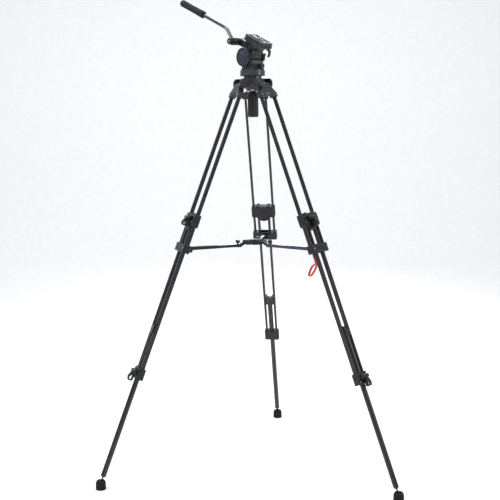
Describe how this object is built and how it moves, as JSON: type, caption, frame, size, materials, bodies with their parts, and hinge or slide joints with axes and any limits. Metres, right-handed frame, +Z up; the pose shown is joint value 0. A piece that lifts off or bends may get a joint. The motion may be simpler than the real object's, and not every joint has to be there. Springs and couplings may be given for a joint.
{
  "type": "video tripod with fluid head",
  "caption": "Video tripod with paired-tube telescoping legs, a mid-level spreader, flip-lever clamps, swivel feet and a bowl-mounted fluid head with a pan bar.",
  "frame": {"origin": "on the floor, at the centre of the front foot's sole; the pan axis stands 593.96 mm along +Y", "axes": "+Z up; the front leg lies over -Y of the pan axis; the operator stands on the +Y side"},
  "size_m": [1.065, 0.9553, 1.718],
  "materials": {
    "black_anodised_tube": "satin black anodised",
    "black_casting": "black painted die casting",
    "black_plastic": "fine moulded texture",
    "rubber": "matte",
    "grip_rubber": "matte foam",
    "bright_steel": "bright zinc",
    "gloss_black_tube": "gloss black",
    "red_ribbon": "woven ribbon"
  },
  "bodies": {
    "crown": {"crown": "black_casting"},
    "front_leg": {"front_shoulder": "black_casting", "front_upper_tubes": "black_anodised_tube", "front_spreader_bracket": "black_plastic", "tag_ribbon": "red_ribbon"},
    "front_middle": {"front_middle_tubes": "black_anodised_tube", "front_clamp_bridge": "black_plastic", "front_collar": "black_plastic"},
    "front_lower": {"front_lower_tube": "black_anodised_tube"},
    "front_foot": {"front_foot": "rubber"},
    "front_upper_lever": {"front_upper_lever": "black_plastic"},
    "front_lower_lever": {"front_lower_lever": "black_plastic"},
    "front_spreader_arm": {"front_spreader_arm": "black_anodised_tube"},
    "front_spreader_slider": {"front_spreader_slider": "black_anodised_tube"},
    "front_spreader_knob": {"front_spreader_knob": "black_plastic"},
    "right_leg": {"right_shoulder": "black_casting", "right_upper_tubes": "black_anodised_tube", "right_spreader_bracket": "black_plastic"},
    "right_middle": {"right_middle_tubes": "black_anodised_tube", "right_clamp_bridge": "black_plastic", "right_collar": "black_plastic"},
    "right_lower": {"right_lower_tube": "black_anodised_tube"},
    "right_foot": {"right_foot": "rubber"},
    "right_upper_lever": {"right_upper_lever": "black_plastic"},
    "right_lower_lever": {"right_lower_lever": "black_plastic"},
    "right_spreader_arm": {"right_spreader_arm": "black_anodised_tube"},
    "right_spreader_slider": {"right_spreader_slider": "black_anodised_tube"},
    "right_spreader_knob": {"right_spreader_knob": "black_plastic"},
    "left_leg": {"left_shoulder": "black_casting", "left_upper_tubes": "black_anodised_tube", "left_spreader_bracket": "black_plastic"},
    "left_middle": {"left_middle_tubes": "black_anodised_tube", "left_clamp_bridge": "black_plastic", "left_collar": "black_plastic"},
    "left_lower": {"left_lower_tube": "black_anodised_tube"},
    "left_foot": {"left_foot": "rubber"},
    "left_upper_lever": {"left_upper_lever": "black_plastic"},
    "left_lower_lever": {"left_lower_lever": "black_plastic"},
    "left_spreader_arm": {"left_spreader_arm": "black_anodised_tube"},
    "left_spreader_slider": {"left_spreader_slider": "black_anodised_tube"},
    "left_spreader_knob": {"left_spreader_knob": "black_plastic"},
    "hub": {"spreader_hub": "black_casting"},
    "levelling_washer": {"pressure_washer": "bright_steel"},
    "levelling_base": {"half_ball": "black_casting"},
    "tie_down": {"tie_down_grip": "black_plastic"},
    "pan_stage": {"pan_housing": "black_casting", "tilt_yoke": "black_casting"},
    "drag_dial": {"drag_dial": "black_casting"},
    "tilt_lock": {"tilt_lock_knob": "black_plastic"},
    "pan_lock": {"pan_lock_knob": "black_plastic"},
    "tilt_stage": {"tilt_body": "black_casting", "tilt_shaft": "bright_steel", "platform": "black_casting"},
    "camera_plate": {"release_plate": "black_casting", "camera_screws": "bright_steel"},
    "plate_latch": {"plate_lever": "black_plastic"},
    "bar_joint": {"bar_clamp": "black_casting", "pan_bar": "gloss_black_tube", "bar_grip": "grip_rubber"},
    "bar_lock": {"bar_knob": "black_plastic"}
  },
  "joints": [
    {"name": "front_leg_fold", "type": "hinge", "parent": "crown", "child": "front_leg", "pos_m": [0, 0.54396, 1.3914], "axis": [1, 0, 0], "range_deg": [0, 13.66]},
    {"name": "front_middle_slide", "type": "slide", "parent": "front_leg", "child": "front_middle", "axis": [0, 0.3691, 0.9294], "range_m": [-0.04, 0.42]},
    {"name": "front_lower_slide", "type": "slide", "parent": "front_middle", "child": "front_lower", "axis": [0, 0.3691, 0.9294], "range_m": [-0.12, 0.32]},
    {"name": "front_foot_swivel", "type": "hinge", "parent": "front_lower", "child": "front_foot", "pos_m": [0, 0, 0.0217], "axis": [-1, 0, 0], "range_deg": [-4, 17]},
    {"name": "front_upper_lever_flip", "type": "hinge", "parent": "front_middle", "child": "front_upper_lever", "pos_m": [0, 0.3424, 0.93669], "axis": [-1, 0, 0], "range_deg": [0, 100]},
    {"name": "front_lower_lever_flip", "type": "hinge", "parent": "front_middle", "child": "front_lower_lever", "pos_m": [0, 0.13173, 0.41028], "axis": [-1, 0, 0], "range_deg": [0, 100]},
    {"name": "front_arm_hinge", "type": "hinge", "parent": "front_leg", "child": "front_spreader_arm", "pos_m": [0, 0.34612, 0.82008], "axis": [1, 0, 0], "range_deg": [0, 39.5]},
    {"name": "front_arm_slide", "type": "slide", "parent": "front_spreader_arm", "child": "front_spreader_slider", "axis": [0, 1, 0], "range_m": [-0.0721, 0]},
    {"name": "front_arm_knob_turn", "type": "hinge", "parent": "front_spreader_slider", "child": "front_spreader_knob", "pos_m": [0, 0.52712, 0.83608], "axis": [0, 0, 1], "range_deg": [0, 300]},
    {"name": "right_leg_fold", "type": "hinge", "parent": "crown", "child": "right_leg", "pos_m": [-0.0433, 0.61896, 1.3914], "axis": [-0.5, -0.866, 0], "range_deg": [0, 13.66]},
    {"name": "right_middle_slide", "type": "slide", "parent": "right_leg", "child": "right_middle", "axis": [0.3196, -0.1845, 0.9294], "range_m": [-0.04, 0.42]},
    {"name": "right_lower_slide", "type": "slide", "parent": "right_middle", "child": "right_lower", "axis": [0.3196, -0.1845, 0.9294], "range_m": [-0.12, 0.32]},
    {"name": "right_foot_swivel", "type": "hinge", "parent": "right_lower", "child": "right_foot", "pos_m": [-0.51439, 0.89094, 0.0217], "axis": [0.5, 0.866, 0], "range_deg": [-4, 17]},
    {"name": "right_upper_lever_flip", "type": "hinge", "parent": "right_middle", "child": "right_upper_lever", "pos_m": [-0.21786, 0.71974, 0.93669], "axis": [0.5, 0.866, 0], "range_deg": [0, 100]},
    {"name": "right_lower_lever_flip", "type": "hinge", "parent": "right_middle", "child": "right_lower_lever", "pos_m": [-0.40031, 0.82508, 0.41028], "axis": [0.5, 0.866, 0], "range_deg": [0, 100]},
    {"name": "right_arm_hinge", "type": "hinge", "parent": "right_leg", "child": "right_spreader_arm", "pos_m": [-0.21464, 0.71788, 0.82008], "axis": [-0.5, -0.866, 0], "range_deg": [0, 39.5]},
    {"name": "right_arm_slide", "type": "slide", "parent": "right_spreader_arm", "child": "right_spreader_slider", "axis": [0.866, -0.5, 0], "range_m": [-0.0721, 0]},
    {"name": "right_arm_knob_turn", "type": "hinge", "parent": "right_spreader_slider", "child": "right_spreader_knob", "pos_m": [-0.05789, 0.62738, 0.83608], "axis": [0, 0, 1], "range_deg": [0, 300]},
    {"name": "left_leg_fold", "type": "hinge", "parent": "crown", "child": "left_leg", "pos_m": [0.0433, 0.61896, 1.3914], "axis": [-0.5, 0.866, 0], "range_deg": [0, 13.66]},
    {"name": "left_middle_slide", "type": "slide", "parent": "left_leg", "child": "left_middle", "axis": [-0.3196, -0.1845, 0.9294], "range_m": [-0.04, 0.42]},
    {"name": "left_lower_slide", "type": "slide", "parent": "left_middle", "child": "left_lower", "axis": [-0.3196, -0.1845, 0.9294], "range_m": [-0.12, 0.32]},
    {"name": "left_foot_swivel", "type": "hinge", "parent": "left_lower", "child": "left_foot", "pos_m": [0.51439, 0.89094, 0.0217], "axis": [0.5, -0.866, 0], "range_deg": [-4, 17]},
    {"name": "left_upper_lever_flip", "type": "hinge", "parent": "left_middle", "child": "left_upper_lever", "pos_m": [0.21786, 0.71974, 0.93669], "axis": [0.5, -0.866, 0], "range_deg": [0, 100]},
    {"name": "left_lower_lever_flip", "type": "hinge", "parent": "left_middle", "child": "left_lower_lever", "pos_m": [0.40031, 0.82508, 0.41028], "axis": [0.5, -0.866, 0], "range_deg": [0, 100]},
    {"name": "left_arm_hinge", "type": "hinge", "parent": "left_leg", "child": "left_spreader_arm", "pos_m": [0.21464, 0.71788, 0.82008], "axis": [-0.5, 0.866, 0], "range_deg": [0, 39.5]},
    {"name": "left_arm_slide", "type": "slide", "parent": "left_spreader_arm", "child": "left_spreader_slider", "axis": [-0.866, -0.5, 0], "range_m": [-0.0721, 0]},
    {"name": "left_arm_knob_turn", "type": "hinge", "parent": "left_spreader_slider", "child": "left_spreader_knob", "pos_m": [0.05789, 0.62738, 0.83608], "axis": [0, 0, 1], "range_deg": [0, 300]},
    {"name": "hub_hinge", "type": "hinge", "parent": "front_spreader_slider", "child": "hub", "pos_m": [0, 0.55812, 0.83608], "axis": [-1, 0, 0], "range_deg": [0, 53.17]},
    {"name": "level_side", "type": "hinge", "parent": "crown", "child": "levelling_washer", "pos_m": [0, 0.59396, 1.412], "axis": [0, 1, 0], "range_deg": [-6, 6]},
    {"name": "level_fore_aft", "type": "hinge", "parent": "levelling_washer", "child": "levelling_base", "pos_m": [0, 0.59396, 1.412], "axis": [1, 0, 0], "range_deg": [-6, 6]},
    {"name": "tie_down_turn", "type": "hinge", "parent": "levelling_base", "child": "tie_down", "pos_m": [0, 0.59396, 1.32], "axis": [0, 0, 1], "range_deg": [0, 350]},
    {"name": "pan", "type": "hinge", "parent": "levelling_base", "child": "pan_stage", "pos_m": [0, 0.59396, 1.45], "axis": [0, 0, 1], "continuous": true},
    {"name": "pan_lock_turn", "type": "hinge", "parent": "pan_stage", "child": "pan_lock", "pos_m": [-0.0083, 0.54872, 1.4572], "axis": [-0.1805, -0.9836, 0], "range_deg": [0, 300]},
    {"name": "drag_dial_turn", "type": "hinge", "parent": "pan_stage", "child": "drag_dial", "pos_m": [-0.04229, 0.60172, 1.4895], "axis": [-0.9836, 0.1805, 0], "range_deg": [0, 270]},
    {"name": "tilt_lock_turn", "type": "hinge", "parent": "pan_stage", "child": "tilt_lock", "pos_m": [0.04524, 0.58566, 1.4895], "axis": [0.9836, -0.1805, 0], "range_deg": [0, 300]},
    {"name": "tilt", "type": "hinge", "parent": "pan_stage", "child": "tilt_stage", "pos_m": [0, 0.59396, 1.4895], "axis": [-0.9836, 0.1805, 0], "range_deg": [-45, 70]},
    {"name": "plate_slide", "type": "slide", "parent": "tilt_stage", "child": "camera_plate", "axis": [-0.1636, -0.8914, -0.4226], "range_m": [-0.025, 0.025]},
    {"name": "plate_lever_turn", "type": "hinge", "parent": "tilt_stage", "child": "plate_latch", "pos_m": [0.00422, 0.52833, 1.51272], "axis": [-0.0763, -0.4157, 0.9063], "range_deg": [0, 60]},
    {"name": "bar_swing", "type": "hinge", "parent": "tilt_stage", "child": "bar_joint", "pos_m": [-0.0386, 0.644, 1.54561], "axis": [0.9836, -0.1805, 0], "range_deg": [-45, 60]},
    {"name": "bar_knob_turn", "type": "hinge", "parent": "bar_joint", "child": "bar_lock", "pos_m": [-0.05631, 0.64725, 1.54561], "axis": [-0.9836, 0.1805, 0], "range_deg": [0, 300]}
  ],
  "couplings": [
    {"joint": "front_arm_hinge", "follows": "front_leg_fold", "ratio": 2.8917},
    {"joint": "front_arm_slide", "follows": "front_leg_fold", "m_per_rad": -0.302},
    {"joint": "right_leg_fold", "follows": "front_leg_fold", "ratio": 1},
    {"joint": "right_arm_hinge", "follows": "front_leg_fold", "ratio": 2.8917},
    {"joint": "right_arm_slide", "follows": "front_leg_fold", "m_per_rad": -0.302},
    {"joint": "left_leg_fold", "follows": "front_leg_fold", "ratio": 1},
    {"joint": "left_arm_hinge", "follows": "front_leg_fold", "ratio": 2.8917},
    {"joint": "left_arm_slide", "follows": "front_leg_fold", "m_per_rad": -0.302},
    {"joint": "hub_hinge", "follows": "front_leg_fold", "ratio": 3.8917}
  ]
}
